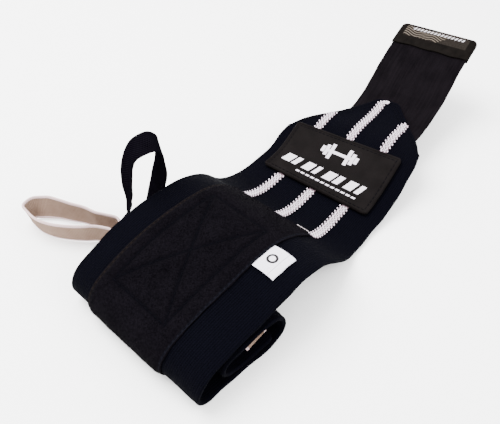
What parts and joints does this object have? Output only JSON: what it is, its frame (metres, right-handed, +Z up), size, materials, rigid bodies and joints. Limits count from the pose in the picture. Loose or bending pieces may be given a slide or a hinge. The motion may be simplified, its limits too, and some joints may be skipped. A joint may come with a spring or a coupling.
{
  "type": "wrist wrap",
  "caption": "Elastic wrist wrap with a hook strap, pull tab, sewn patch, loop panel, raised stripes, side label and thumb loops, lying open at one end and loosely rolled at the other.",
  "frame": {"origin": "under the middle of the bounding box, on the floor the wrap lies on", "axes": "+Y along the wrap toward the pull tab, +X across toward the side with the label, +Z up"},
  "size_m": [0.1424, 0.2552, 0.0554],
  "materials": {
    "band_knit": "matt ribbed elastic knit",
    "hook_tape": "matt hook tape",
    "tab_rubber": "satin moulded rubber",
    "stripe_yarn": "soft raised yarn",
    "patch_rubber": "matt moulded rubber",
    "loop_pile": "brushed loop pile",
    "label_satin": "woven satin",
    "white_tape": "ribbed elastic tape",
    "black_tape": "twill elastic tape"
  },
  "bodies": {
    "root": {"band": "band_knit", "hook_strap": "hook_tape", "pull_tab": "tab_rubber", "stripe_left": "stripe_yarn", "stripe_middle": "stripe_yarn", "stripe_right": "stripe_yarn", "patch": "patch_rubber", "loop_panel": "loop_pile", "side_label": "label_satin", "thumb_loop_white": "white_tape", "thumb_loop_black": "black_tape"}
  },
  "joints": []
}
